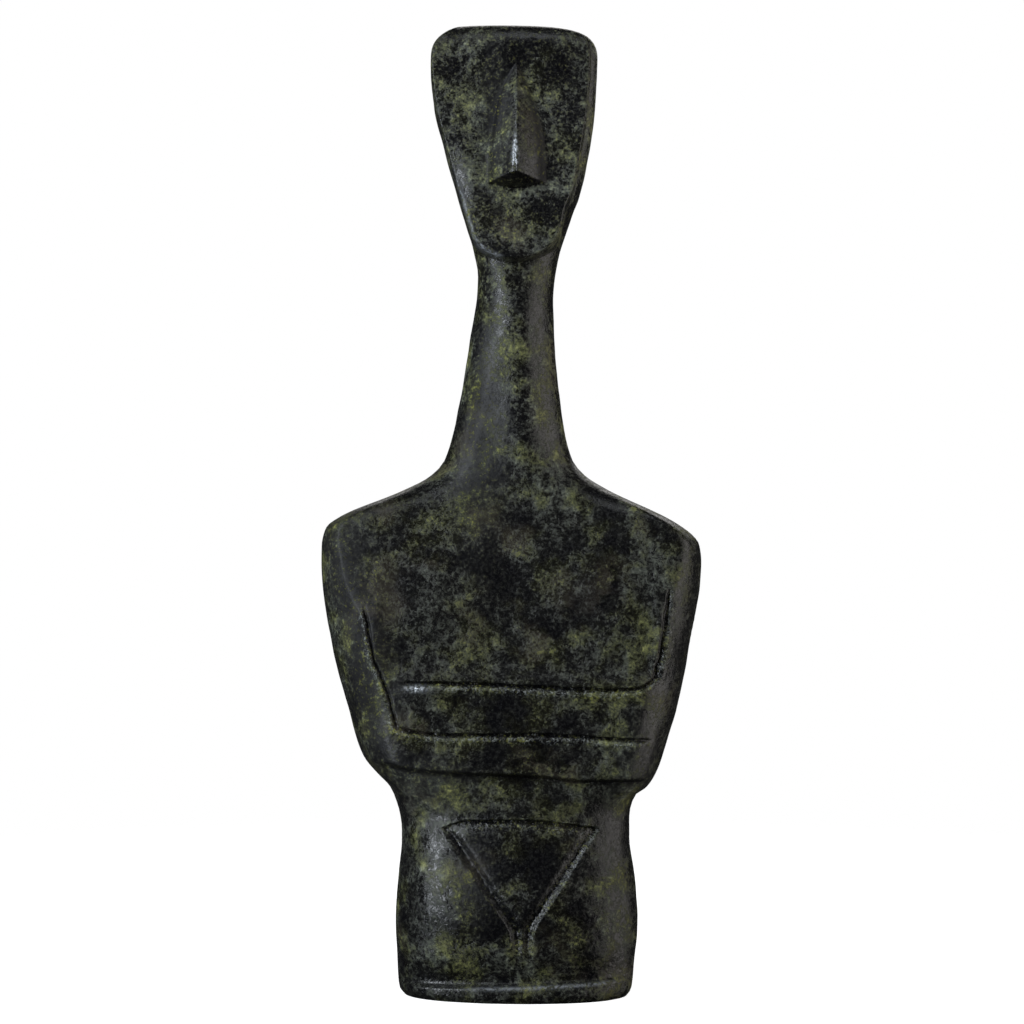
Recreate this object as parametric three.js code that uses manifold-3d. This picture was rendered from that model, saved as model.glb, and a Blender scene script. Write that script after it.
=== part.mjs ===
// Cycladic figurine: a half-length figure with folded arms, cast in one piece of patinated bronze.
// Millimetres, +Z up. The figure stands on its flat underside at z = 0 and faces -Y.
// The body is one loft of sections, level but for those that follow the rim of the base.
// The shield-shaped face and the nose are smaller lofts joined to it, and the incised lines are
// round cuts swept along curves that lie on the front.

import * as THREE from 'three';
import { LoftGeometry } from 'three/addons/geometries/LoftGeometry.js';
import { mergeVertices } from 'three/addons/utils/BufferGeometryUtils.js';
import Module from 'manifold-3d';

const wasm = await Module();
wasm.setup();

// ---- driving dimensions ----

const HEIGHT = 220;
const CROWN_START = 211;
const CROWN_SIDE_POWER = 3.0;
const CROWN_DEPTH_POWER = 3.4;
const CROWN_SHIFT = - 4.5;
const CROWN_SHIFT_POWER = 10;

// Outline seen from the front: height, reach to the left (-X), reach to the right (+X).
const OUTLINE = [
	[ 0, 25.3, 25.5 ], // cut base
	[ 1.2, 26.3, 26.4 ],
	[ 7, 27.0, 27.1 ],
	[ 17, 27.3, 27.9 ], // hips
	[ 27, 26.7, 27.3 ],
	[ 35.5, 25.75, 26.2 ], // waist
	[ 41, 26.2, 26.3 ],
	[ 44.8, 27.4, 27.2 ],
	[ 47, 28.5, 30.2 ], // undersides of the elbows
	[ 50, 31.4, 32.3 ],
	[ 54, 34.6, 33.9 ],
	[ 66, 38.4, 37.2 ],
	[ 78, 41.5, 39.7 ],
	[ 89, 43.4, 41.6 ],
	[ 98.5, 44.1, 42.3 ], // upper arms
	[ 102, 44.0, 41.9 ],
	[ 104, 43.7, 40.5 ],
	[ 106, 43.0, 38.0 ], // shoulder corners
	[ 108, 40.3, 34.7 ],
	[ 114.3, 25.4, 21.3 ],
	[ 117.5, 19.2, 16.1 ],
	[ 121, 16.0, 13.2 ], // root of the neck
	[ 134, 12.7, 10.4 ],
	[ 147, 10.6, 9.2 ],
	[ 158, 8.9, 8.7 ],
	[ 163, 8.7, 9.1 ], // narrowest, under the chin
	[ 168, 9.4, 10.0 ],
	[ 176, 11.75, 12.8 ],
	[ 182, 13.5, 15.1 ],
	[ 192, 16.2, 17.0 ],
	[ 201, 18.4, 18.3 ],
	[ 211, 19.3, 18.9 ], // top of the head
];

// Depth on the centre line: height, reach to the front (-Y), reach to the back (+Y).
const DEPTH = [
	[ 0, 14.9, 13.2 ],
	[ 1, 15.6, 13.9 ],
	[ 4, 15.75, 14.0 ],
	[ 11, 16.1, 14.3 ],
	[ 20, 17.0, 15.0 ], // belly and seat
	[ 38, 14.6, 12.5 ],
	[ 47, 13.9, 12.0 ],
	[ 60, 13.8, 12.0 ],
	[ 75, 13.5, 12.2 ],
	[ 95, 12.5, 12.3 ],
	[ 106, 11.2, 11.2 ],
	[ 118, 10.2, 9.7 ],
	[ 140, 9.5, 9.0 ],
	[ 160, 9.0, 9.4 ],
	[ 168, 9.4, 10.6 ],
	[ 178, 11.1, 12.5 ],
	[ 190, 9.8, 13.9 ],
	[ 204, 8.0, 14.5 ],
	[ 211, 7.4, 14.2 ],
];

// How square a level section is: height, exponent of its superellipse.
const SQUARENESS = [
	[ 0, 2.35 ],
	[ 25, 2.35 ],
	[ 42, 2.35 ],
	[ 54, 2.1 ],
	[ 98, 2.1 ],
	[ 112, 2.2 ],
	[ 122, 2.2 ],
	[ 158, 2.1 ],
	[ 178, 3.2 ],
	[ 211, 3.8 ],
];

// The chest and back are planed flat between arms that slope back: height, share, reach of the flat.
const FLATNESS = [
	[ 40, 0, 1.5 ],
	[ 52, 1, 1.5 ],
	[ 84, 1, 1.55 ],
	[ 97, 1, 2.0 ],
	[ 106, 1, 2.3 ],
	[ 119, 0, 2.3 ],
];
const FLAT_CORNER = 24;

// The hips are cast slightly out of true: their right side comes forward by this share of its reach.
const HIP_SKEW = 0.045;
const HIP_SKEW_TOP = 40;

// Above a plain rim round the base the body is tucked in. The rim is taller on the right.
const RIM_HEIGHT = 3.4;
const RIM_SLOPE = 0.035;
const RIM_LEDGE = 1.2;
const TUCK_TOP = 8.0;
const TUCK_DEPTH = 2.0;

// Sections lean with the rim's slope near it and are level again above this height.
const TILT_TOP = 14;

// The face is a flat shield that leans back and stands proud of the head and neck.
const CHIN_HEIGHT = 165.3;
const JAW_HEIGHT = 172.5;
const JAW_POWER = 2.0;
const FACE_TOP = 212;
const FACE_CHIN_DEPTH = 15.5;
const FACE_CROWN_DEPTH = 7.0;
const FACE_SQUARENESS = 7;
const FACE_ROOT = 2;
const FACE_INSET_LEFT = 0.1;
const FACE_INSET_RIGHT = 0.75;
const TEMPLE_INSET_RIGHT = 1.7;

// The left cheek falls away towards its edge.
const CHEEK_HEIGHT = 184;
const CHEEK_SPREAD = 7;
const CHEEK_REACH = 4.5;
const CHEEK_FALL = 1.2;

// The nose is a long wedge that fades upwards. Its foot is arched and hollowed below.
const NOSE_BASE = 182.75;
const NOSE_TOP = 210.4;
const NOSE_CENTRE = 0.3;
const NOSE_HALF_WIDTH = 5.6;
const NOSE_RISE = 6.0;
const NOSE_FADE = 0.62;
const NOSE_TAPER_LEFT = 3.2;
const NOSE_TAPER_RIGHT = 2.3;
const NOSE_RIDGE_ROUND = 0.08;
const NOSE_FLARE = 0.24;
const NOSE_FLARE_END = 1.9;
const NOSE_ROOT_SHARE = 1.15;
const NOSE_ARCH = 2.05;
const NOSE_BOW = 1.1;
const NOSE_OVERLAP = 0.15;

// Lines on the front, each a list of [x, z]. The forearms lie level, the left above the right.
const LEFT_FOREARM_TOP = [
	[ - 25.5, 71.3 ], [ - 7.8, 71.1 ], [ 1.1, 70.7 ], [ 15.8, 69.9 ], [ 23.5, 69.8 ], [ 28.6, 70.5 ],
	[ 30.4, 72.4 ], [ 32.0, 78.9 ], [ 33.3, 87.3 ], [ 34.1, 93 ],
];
const RIGHT_FOREARM_TOP = [
	[ - 33.9, 89 ], [ - 31.3, 76.8 ], [ - 28.1, 68.6 ], [ - 26.7, 62.9 ], [ - 25.8, 61.3 ], [ - 21.3, 60.4 ],
	[ - 14.9, 59.8 ], [ 3.5, 59.8 ], [ 13.8, 59.5 ], [ 20.9, 58.9 ], [ 31.1, 58.4 ],
];
const FOREARM_UNDERSIDE = [
	[ - 29, 52.9 ], [ - 23, 51.8 ], [ - 12, 50.9 ], [ 4.4, 50.1 ], [ 15, 49.2 ], [ 29.5, 49.1 ],
];
const TRIANGLE_TOP = [ [ - 16.4, 39.2 ], [ - 10.1, 40.7 ], [ 0, 40.7 ], [ 9, 40.0 ], [ 18.3, 39.2 ] ];
const TRIANGLE_LEFT = [ [ - 16.4, 39.2 ], [ - 8.3, 29.4 ], [ 1.0, 18.6 ] ];
const TRIANGLE_RIGHT = [ [ 18.3, 39.2 ], [ 10.3, 29.4 ], [ 2.2, 18.6 ] ];
const TRIANGLE_STEM = [ [ 1.5, 20 ], [ 1.5, 15 ], [ 1.5, 10.5 ] ];

// The folded forearms stand proud of the chest and waist between these two edges. The chest sinks
// back only between the upper arms, whose inner sides lean.
const FOREARMS_UPPER_EDGE = [ [ - 26, 71.3 ], [ 0, 70.8 ], [ 24, 69.8 ] ];
const FOREARMS_LOWER_EDGE = FOREARM_UNDERSIDE;
const FOREARMS_RISE = 1.3;
const LOWER_EDGE_WIDTH = 1.6;
const UPPER_EDGE_WIDTH = 4.8;
const ARM_LEAN = 0.1;
const ARM_LEAN_TOP = 90;
const LEFT_ARM_INSIDE = [ - 34, - 27 ];
const RIGHT_ARM_INSIDE = [ 29, 35 ];
const ARMS_FADE = [ 74, 104 ];

// Soft forms on the front: centre x, centre z, spread in x, spread in z, rise.
const SOFT_FORMS = [
	[ - 20.7, 88.6, 7, 7, 1.1 ], // breasts
	[ 23.1, 89.5, 7, 7, 1.1 ],
	[ - 2.2, 99, 3, 9, - 0.7 ], // hollow of the breastbone
	[ - 18.0, 69.2, 4.5, 1.4, 0.8 ], // left end of the upper forearm
];

// A blunt ridge runs down the front of the neck.
const RIDGE_CENTRE = 1.0;
const RIDGE_SPREAD = 3.2;
const RIDGE_RISE = 1.0;
const RIDGE_FOOT = [ 112, 130 ];
const RIDGE_HEAD = [ 150, 164 ];

// The tool that cuts a line sinks by all but this share of its radius.
const GROOVE_LIFT = 0.45;
const GROOVE_STEP = 3.2;
const GROOVE_SIDES = 8;

// Every incised line with the radius of the tool that cuts it.
const GROOVES = [
	[ LEFT_FOREARM_TOP, 1.0 ],
	[ RIGHT_FOREARM_TOP, 0.9 ],
	[ FOREARM_UNDERSIDE, 0.8 ],
	[ TRIANGLE_TOP, 0.9 ],
	[ TRIANGLE_LEFT, 1.7 ],
	[ TRIANGLE_RIGHT, 1.7 ],
	[ TRIANGLE_STEM, 2.2 ],
];

// Zones of the loft: lower height, upper height, rows.
const ROW_ZONES = [
	[ 0, 1.2, 2 ],
	[ 1.2, 3.4, 1 ],
	[ 3.4, 4.6, 2 ],
	[ 4.6, 8, 2 ],
	[ 8, 42, 8 ],
	[ 42, 55, 8 ],
	[ 55, 67, 3 ],
	[ 67, 74, 4 ],
	[ 74, 102, 6 ],
	[ 102, 122, 10 ],
	[ 122, 162, 6 ],
	[ 162, 178, 4 ],
	[ 178, 211, 5 ],
];
const CROWN_STEPS = [ 0, 0.25, 0.45, 0.62, 0.76, 0.87, 0.94, 0.98, 1 ];
const COLUMNS = 48;
const FRONT_CROWDING = 1.5;
const FACE_ROWS = 15;
const FACE_COLUMNS = 28;
const NOSE_STEPS = [ 0, 0.04, 0.08, 0.13, 0.2, 0.32, 0.48, 0.65, 0.81, 0.92, 0.97 ];
const NOSE_SHARES = [ 0, 0.12, 0.35, 0.6, 0.8, 1, NOSE_ROOT_SHARE ];

// ---- curves through stations ----

// A smooth curve through rising stations that never overshoots them (monotone cubic).
function through( stations, column, at ) {

	const last = stations.length - 1;
	const height = THREE.MathUtils.clamp( at, stations[ 0 ][ 0 ], stations[ last ][ 0 ] );
	const step = ( i ) => stations[ i + 1 ][ 0 ] - stations[ i ][ 0 ];
	const slope = ( i ) => ( stations[ i + 1 ][ column ] - stations[ i ][ column ] ) / step( i );
	const tangent = ( i ) => {

		if ( i === 0 || i === last || slope( i - 1 ) * slope( i ) <= 0 ) return 0;
		const before = 2 * step( i ) + step( i - 1 );
		const after = step( i ) + 2 * step( i - 1 );
		return ( before + after ) / ( before / slope( i - 1 ) + after / slope( i ) );

	};

	let i = 0;
	while ( i < last - 1 && stations[ i + 1 ][ 0 ] < height ) i ++;
	const h = step( i );
	const t = ( height - stations[ i ][ 0 ] ) / h;
	const rest = 1 - t;
	return ( 1 + 2 * t ) * rest * rest * stations[ i ][ column ] + t * rest * rest * h * tangent( i )
		+ t * t * ( 3 - 2 * t ) * stations[ i + 1 ][ column ] - t * t * rest * h * tangent( i + 1 );

}

function bump( distance, width ) {

	return Math.exp( - 0.5 * ( distance / width ) ** 2 );

}

// A share of the depth once the front is planed flat: the arms slope back from the flat.
function planed( share, reach ) {

	const taller = share * reach;
	return taller / ( 1 + taller ** FLAT_CORNER ) ** ( 1 / FLAT_CORNER );

}

// ---- the level section of the body ----

function section( z ) {

	const crown = Math.max( 0, ( z - CROWN_START ) / ( HEIGHT - CROWN_START ) );
	const rounded = Math.min( crown, 0.99 );
	return {
		left: through( OUTLINE, 1, z ),
		right: through( OUTLINE, 2, z ),
		front: through( DEPTH, 1, z ),
		back: through( DEPTH, 2, z ),
		power: through( SQUARENESS, 1, z ),
		flat: through( FLATNESS, 1, z ),
		flatReach: through( FLATNESS, 2, z ),
		side: ( 1 - rounded ** CROWN_SIDE_POWER ) ** ( 1 / CROWN_SIDE_POWER ),
		thick: ( 1 - rounded ** CROWN_DEPTH_POWER ) ** ( 1 / CROWN_DEPTH_POWER ),
		shift: CROWN_SHIFT * crown ** CROWN_SHIFT_POWER,
		skew: HIP_SKEW * ( 1 - THREE.MathUtils.smoothstep( z, 0, HIP_SKEW_TOP ) ),
	};

}

// What stands proud of the plain section on the front: forearms, soft forms and the neck's ridge.
function relief( x, z ) {

	const { smoothstep } = THREE.MathUtils;
	const lower = through( FOREARMS_LOWER_EDGE, 1, x );
	const upper = through( FOREARMS_UPPER_EDGE, 1, x );
	const rise = smoothstep( z, lower - LOWER_EDGE_WIDTH / 2, lower + LOWER_EDGE_WIDTH / 2 );
	const lean = ARM_LEAN * ( ARM_LEAN_TOP - z );
	const betweenArms = smoothstep( x, LEFT_ARM_INSIDE[ 0 ] + lean, LEFT_ARM_INSIDE[ 1 ] )
		* ( 1 - smoothstep( x, RIGHT_ARM_INSIDE[ 0 ], RIGHT_ARM_INSIDE[ 1 ] - lean ) );
	const edge = smoothstep( z, upper, upper + UPPER_EDGE_WIDTH ) * betweenArms;
	const fall = Math.max( edge, smoothstep( z, ...ARMS_FADE ) );
	const ridge = bump( x - RIDGE_CENTRE, RIDGE_SPREAD )
		* ( smoothstep( z, ...RIDGE_FOOT ) - smoothstep( z, ...RIDGE_HEAD ) );
	let depth = FOREARMS_RISE * ( rise - fall ) + RIDGE_RISE * ridge;
	for ( const [ centreX, centreZ, spreadX, spreadZ, height ] of SOFT_FORMS ) {

		depth += height * bump( x - centreX, spreadX ) * bump( z - centreZ, spreadZ );

	}

	return depth;

}

// Where a superellipse is met at a turn counter-clockwise from +X, as shares of its two reaches.
function rimShares( turn, crowding, power ) {

	const across = Math.cos( turn );
	const along = crowding * Math.sin( turn );
	const reach = ( Math.abs( across ) ** power + Math.abs( along ) ** power ) ** ( 1 / power );
	return [ across / reach, along / reach ];

}

// How far a place on the rim faces forward, from 0 on the flanks to 1 on the front.
function facingForward( share ) {

	return THREE.MathUtils.smoothstep( share, 0.3, 0.8 );

}

// How far the body draws in above the rim of the base.
function tuck( x, z ) {

	const above = z - RIM_HEIGHT - RIM_SLOPE * x;
	return TUCK_DEPTH * THREE.MathUtils.smoothstep( above, 0, RIM_LEDGE )
		* ( 1 - THREE.MathUtils.smoothstep( above, RIM_LEDGE, TUCK_TOP ) );

}

function frontDepth( x, z, share, size ) {

	const flat = share + size.flat * ( planed( share, size.flatReach ) - share );
	return flat * ( size.front - tuck( x, z ) ) + facingForward( flat ) * relief( x, z ) + size.skew * x;

}

function backDepth( x, z, share, size ) {

	const flat = share + size.flat * ( planed( share, size.flatReach ) - share );
	return flat * ( size.back - tuck( x, z ) ) - size.skew * x;

}

function bodyRing( height ) {

	const plain = section( height );
	const tilt = THREE.MathUtils.smoothstep( height, 0, RIM_HEIGHT )
		* ( 1 - THREE.MathUtils.smoothstep( height, TUCK_TOP, TILT_TOP ) );
	const points = [];
	for ( let i = 0; i < COLUMNS; i ++ ) {

		const [ across, along ] = rimShares( 2 * Math.PI * i / COLUMNS, FRONT_CROWDING, plain.power );
		const z = height + tilt * RIM_SLOPE * across * plain.right;
		const size = section( z );
		const x = across * ( across < 0 ? size.left : size.right );
		const share = Math.abs( along );
		const y = along < 0 ? - frontDepth( x, z, share, size ) : backDepth( x, z, share, size );
		const middle = ( size.back - size.front ) / 2;
		points.push( new THREE.Vector3( x * size.side + size.shift, middle + ( y - middle ) * size.thick, z ) );

	}

	return points;

}

// Depth of the front at a place given by its width and height alone.
function frontAt( x, z ) {

	const size = section( z );
	const reach = x < 0 ? size.left : size.right;
	const share = ( 1 - Math.min( Math.abs( x ) / reach, 0.999 ) ** size.power ) ** ( 1 / size.power );
	return frontDepth( x, z, share, size );

}

// ---- solids ----

function solid( geometry ) {

	const bare = new THREE.BufferGeometry();
	bare.setIndex( geometry.index );
	bare.setAttribute( 'position', geometry.attributes.position );
	const merged = mergeVertices( bare, 1e-4 );
	return new wasm.Manifold( new wasm.Mesh( {
		numProp: 3,
		vertProperties: new Float32Array( merged.attributes.position.array ),
		triVerts: new Uint32Array( merged.index.array ),
	} ) );

}

function body() {

	const heights = ROW_ZONES.flatMap( ( [ low, high, rows ] ) =>
		Array.from( { length: rows }, ( _, i ) => THREE.MathUtils.lerp( low, high, i / rows ) ) );
	const crown = CROWN_STEPS.map( ( step ) => THREE.MathUtils.lerp( CROWN_START, HEIGHT, step ) );
	const rings = [ ...heights, ...crown ].map( bodyRing );
	return solid( new LoftGeometry( rings, { capStart: true, capEnd: true } ) );

}

function facePlane( z ) {

	const rise = ( z - CHIN_HEIGHT ) / ( CROWN_START - CHIN_HEIGHT );
	return THREE.MathUtils.lerp( FACE_CHIN_DEPTH, FACE_CROWN_DEPTH, rise );

}

// How far the left cheek lies behind the plane of the face, for a distance in from its edge.
function cheekFall( inset, z ) {

	const near = 1 - THREE.MathUtils.smoothstep( inset, 0, CHEEK_REACH );
	return CHEEK_FALL * near * bump( z - CHEEK_HEIGHT, CHEEK_SPREAD );

}

function faceRing( z ) {

	const head = section( Math.max( z, JAW_HEIGHT ) );
	const below = THREE.MathUtils.clamp( ( JAW_HEIGHT - z ) / ( JAW_HEIGHT - CHIN_HEIGHT ), 0, 0.985 );
	const open = ( 1 - below ** JAW_POWER ) ** ( 1 / JAW_POWER );
	const temple = THREE.MathUtils.smoothstep( z, JAW_HEIGHT, JAW_HEIGHT + 6 );
	const left = ( head.left - FACE_INSET_LEFT ) * open;
	const right = ( head.right - THREE.MathUtils.lerp( FACE_INSET_RIGHT, TEMPLE_INSET_RIGHT, temple ) ) * open;
	return Array.from( { length: FACE_COLUMNS }, ( _, i ) => {

		const [ across, along ] = rimShares( 2 * Math.PI * i / FACE_COLUMNS, 1, FACE_SQUARENESS );
		const x = across * ( across < 0 ? left : right );
		const front = facePlane( z ) - ( across < 0 ? cheekFall( left + x, z ) : 0 );
		return new THREE.Vector3( x, along * ( along < 0 ? front : FACE_ROOT ), z );

	} );

}

function face() {

	const rings = [];
	for ( let i = 0; i <= FACE_ROWS; i ++ ) {

		rings.push( faceRing( CHIN_HEIGHT + ( FACE_TOP - CHIN_HEIGHT ) * ( i / FACE_ROWS ) ** 1.7 ) );

	}

	return solid( new LoftGeometry( rings, { capStart: true, capEnd: true } ) );

}

// How far the nose stands out of the face, for a share of its half width and a height.
function noseHeight( share, z ) {

	const part = THREE.MathUtils.clamp( ( z - NOSE_BASE ) / ( NOSE_TOP - NOSE_BASE ), 0, 1 );
	const slope = 1 - Math.hypot( share, NOSE_RIDGE_ROUND ) + NOSE_RIDGE_ROUND;
	const flare = NOSE_FLARE + 0.4 * part;
	const flared = ( slope + Math.hypot( slope, flare ) ) / 2
		- flare / 2 * THREE.MathUtils.smoothstep( share, 0.5, NOSE_FLARE_END );
	const wedge = NOSE_RISE * ( 1 - part ) ** NOSE_FADE * Math.max( flared, 0 );
	const above = z - NOSE_BASE + NOSE_BOW * Math.max( 1 - share ** 2, 0 );
	const arch = ( NOSE_ARCH + NOSE_BOW ) * ( 1 + share ) / Math.cbrt( Math.max( 1 - share, 0.05 ) );
	return Math.min( wedge, NOSE_RISE * ( Math.max( above, 0 ) / arch ) ** 0.75 );

}

function noseRing( z ) {

	const part = THREE.MathUtils.clamp( ( z - NOSE_BASE ) / ( NOSE_TOP - NOSE_BASE ), 0, 1 );
	const left = - NOSE_HALF_WIDTH * ( 1 - part ** NOSE_TAPER_LEFT );
	const right = NOSE_HALF_WIDTH * ( 1 - part ** NOSE_TAPER_RIGHT );
	const fronts = NOSE_SHARES.map( ( share ) => - facePlane( z ) - noseHeight( share, z ) + NOSE_OVERLAP );
	const at = ( side, share, y ) => new THREE.Vector3( NOSE_CENTRE + side * share, y, z );
	const flank = ( side ) => NOSE_SHARES.map( ( share, i ) => at( side, share, fronts[ i ] ) );
	const root = [ right, left ].map( ( side ) => at( side, NOSE_ROOT_SHARE, 0 ) );
	return [ ...flank( left ).slice( 1 ).reverse(), ...flank( right ), ...root ];

}

function nose() {

	const heights = NOSE_STEPS.map( ( step ) => THREE.MathUtils.lerp( NOSE_BASE, NOSE_TOP, step ) );
	const foot = noseRing( NOSE_BASE - NOSE_BOW );
	return solid( new LoftGeometry( [ foot, ...heights.map( noseRing ) ], { capStart: true, capEnd: true } ) );

}

// A round tool that follows a line over the front and rises out of it at both ends.
function groove( line, radius ) {

	const flat = new THREE.CatmullRomCurve3( line.map( ( [ x, z ] ) => new THREE.Vector3( x, 0, z ) ) );
	const steps = Math.ceil( flat.getLength() / GROOVE_STEP );
	const onFront = flat.getSpacedPoints( steps ).map( ( { x, z }, i ) => {

		const lift = i === 0 || i === steps ? 1.1 : GROOVE_LIFT;
		return new THREE.Vector3( x, - frontAt( x, z ) - radius * lift, z );

	} );
	const tool = new THREE.Shape().absarc( 0, 0, radius, 0, 2 * Math.PI );
	return solid( new THREE.ExtrudeGeometry( tool, {
		extrudePath: new THREE.CatmullRomCurve3( onFront ),
		steps: steps,
		curveSegments: GROOVE_SIDES / 2,
	} ) );

}

function figurine() {

	let figure = body().add( face() ).add( nose() );
	for ( const [ line, radius ] of GROOVES ) figure = figure.subtract( groove( line, radius ) );
	const cut = figure.getMesh();
	const geometry = new THREE.BufferGeometry();
	geometry.setAttribute( 'position', new THREE.BufferAttribute( cut.vertProperties, 3 ) );
	geometry.setIndex( new THREE.BufferAttribute( cut.triVerts, 1 ) );
	geometry.computeVertexNormals();
	const bronze = new THREE.MeshStandardMaterial( { color: 0x34352f, roughness: 0.45, metalness: 0.6 } );
	const mesh = new THREE.Mesh( geometry, bronze );
	mesh.name = 'figurine';
	return mesh;

}

export default new THREE.Group().add( figurine() );
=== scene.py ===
import math

import bmesh
import bpy
import numpy as np
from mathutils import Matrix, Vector


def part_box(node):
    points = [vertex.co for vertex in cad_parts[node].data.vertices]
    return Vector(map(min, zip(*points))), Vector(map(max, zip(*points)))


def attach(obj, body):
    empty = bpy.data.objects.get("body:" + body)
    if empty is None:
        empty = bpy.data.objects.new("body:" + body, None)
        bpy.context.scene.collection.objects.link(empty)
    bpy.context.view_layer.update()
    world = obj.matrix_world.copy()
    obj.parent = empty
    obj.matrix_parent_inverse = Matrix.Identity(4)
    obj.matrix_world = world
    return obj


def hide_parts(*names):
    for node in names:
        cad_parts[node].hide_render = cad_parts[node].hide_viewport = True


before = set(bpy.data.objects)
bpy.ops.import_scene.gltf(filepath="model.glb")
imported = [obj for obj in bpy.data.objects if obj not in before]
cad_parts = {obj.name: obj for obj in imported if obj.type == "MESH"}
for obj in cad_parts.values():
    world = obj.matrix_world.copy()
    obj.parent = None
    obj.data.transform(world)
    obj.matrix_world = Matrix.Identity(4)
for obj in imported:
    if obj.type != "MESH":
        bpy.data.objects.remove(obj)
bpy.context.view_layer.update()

# The figurine's looks: a half-length folded-arm figure cast in bronze, patinated green-black and waxed.
# Lengths of the figure are in graduations, 220 of them to its height. It faces -Y. Left is -X, but an
# arm's left and right are the figure's own.

foot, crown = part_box("figurine")
HEIGHT = 220
GRADUATION = (crown.z - foot.z) / HEIGHT
SEED = 7
FAR = 1e9

# The mesh is split until its edges are short by the carving, and longer on plain skin.
FIRST_COLUMNS = 84
FIRST_ROWS = 132
SOLE_ROWS = 8
COLUMNS_TO_THE_FRONT = 1.5  # crowds the columns towards the middle of the front and of the back
FINE_EDGE = 0.46
PLAIN_EDGE = 2.2
ROUNDS_OF_SPLITTING = 7
SHARP_ANGLE = math.radians(50)

# The studio: the paper's radius in metres, the sensor's width in millimetres, the rest in graduations.
PAPER_RADIUS = 1.6 * HEIGHT * GRADUATION
SOFTBOXES = [  # name, place and size in figure heights, tint, watts
    ("key", (-3.05, -2.4, 1.3), (0.55, 5.4), (0.88, 0.94, 1.0), 8.6),
    ("fill", (4.4, -0.8, 0.4), (4.0, 6.0), (1.0, 0.96, 0.92), 6.0),
    ("top", (0.2, -1.6, 4.0), (2.0, 1.4), (0.92, 0.96, 1.0), 0.8),
    ("behind", (0.6, 3.8, 2.6), (3.4, 2.0), (1.0, 0.98, 0.95), 1.2),
]
EYE_SIDE = -0.7
EYE_DISTANCE = 600
EYE_HEIGHT = 109.3
HALF_VIEW = 116.6
SENSOR_WIDTH = 36

# ---- profiles ----

# The crown is domed over, with its top a little to the left. The sole's rows run out from its centre.
CROWN_START = 211
CROWN_SIDE_POWER = 3.0
CROWN_DEPTH_POWER = 3.4
CROWN_SHIFT = -4.5
CROWN_SHIFT_POWER = 10
SOLE = 25

# Outline from the front: height, reach to the left (-X), reach to the right (+X).
OUTLINE = [
    (0, 25.3, 25.5),  # cut base
    (1.2, 26.3, 26.4),
    (7, 27.0, 27.1),
    (17, 27.3, 27.9),  # hips
    (27, 26.7, 27.3),
    (35.5, 25.75, 26.2),  # waist
    (41, 26.2, 26.3),
    (44.8, 27.4, 27.2),
    (47, 28.5, 30.2),  # undersides of the elbows
    (50, 31.4, 32.3),
    (54, 34.6, 33.9),
    (66, 38.4, 37.2),
    (78, 41.5, 39.7),
    (89, 43.4, 41.6),
    (98.5, 44.1, 42.3),  # upper arms
    (102, 44.0, 41.9),
    (104, 43.7, 40.5),
    (106, 43.0, 38.0),  # shoulder corners
    (108, 40.3, 34.7),
    (114.3, 25.4, 21.3),
    (117.5, 19.2, 16.1),
    (121, 16.0, 13.2),  # root of the neck
    (134, 12.7, 10.4),
    (147, 10.6, 9.2),
    (158, 8.9, 8.7),
    (163, 8.7, 9.1),  # narrowest, under the chin
    (168, 9.4, 10.0),
    (176, 11.75, 12.8),
    (182, 13.5, 15.1),
    (192, 16.2, 17.0),
    (201, 18.4, 18.3),
    (211, 19.3, 18.9),  # top of the head
]

# Depth on the centre line: height, reach to the front (-Y), reach to the back (+Y).
DEPTH = [
    (0, 14.9, 13.2),
    (1, 15.6, 13.9),
    (4, 15.75, 14.0),
    (11, 16.1, 14.3),
    (20, 17.0, 15.0),  # belly and seat
    (38, 14.6, 12.5),
    (47, 13.9, 12.0),
    (60, 13.8, 12.0),
    (75, 13.5, 12.2),
    (95, 12.5, 12.3),
    (106, 11.2, 11.2),
    (118, 10.2, 9.7),
    (140, 9.5, 9.0),
    (160, 9.0, 9.4),
    (168, 9.4, 10.6),
    (178, 11.1, 12.5),
    (190, 9.8, 13.9),
    (204, 8.0, 14.5),
    (211, 7.4, 14.2),
]

# How square a level section is: height, exponent of its superellipse.
SQUARENESS = [
    (0, 2.35),
    (25, 2.35),
    (42, 2.35),
    (54, 2.1),
    (98, 2.1),
    (112, 2.2),
    (122, 2.2),
    (158, 2.1),
    (178, 3.2),
    (211, 3.8),
]

# How the chest and back are planed flat between sloping arms: height, share, reach of the flat.
FLATNESS = [
    (40, 0, 1.5),
    (52, 1, 1.5),
    (84, 1, 1.55),
    (97, 1, 2.0),
    (106, 1, 2.3),
    (119, 0, 2.3),
]
FLAT_CORNER = 24

# The hips are turned a little: the right side lies further forward.
HIP_SKEW = 0.045
HIP_SKEW_TOP = 40

# The skin is gently uneven: wavelengths and depths of its ripples, and how far it is worn down.
SKIN_RIPPLES = [(17, 0.13), (6, 0.05)]
WORN_DOWN = 0.12

# The body is tucked in above a plain rim round the base.
RIM_HEIGHT = 3.4
RIM_SLOPE = 0.035
RIM_LEDGE = 1.2
TUCK_TOP = 8.0
TUCK_DEPTH = 2.0

# The face is a leaning plane with a rounded jaw.
CHIN_HEIGHT = 165.3
JAW_HEIGHT = 172.5
JAW_POWER = 2.0
FACE_CHIN_DEPTH = 15.5
FACE_CROWN_DEPTH = 7.0
FACE_EDGE_ROUND = 0.7
JAW_EDGE_ROUND = 1.2
FACE_EDGE_POWER = 2.0
FACE_INSET_LEFT = 0.1
FACE_INSET_RIGHT = 0.75
TEMPLE_INSET_RIGHT = 1.7

# The left cheek falls away towards its edge.
CHEEK_HEIGHT = 184
CHEEK_SPREAD = 7
CHEEK_REACH = 4.5
CHEEK_FALL = 1.2

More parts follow.
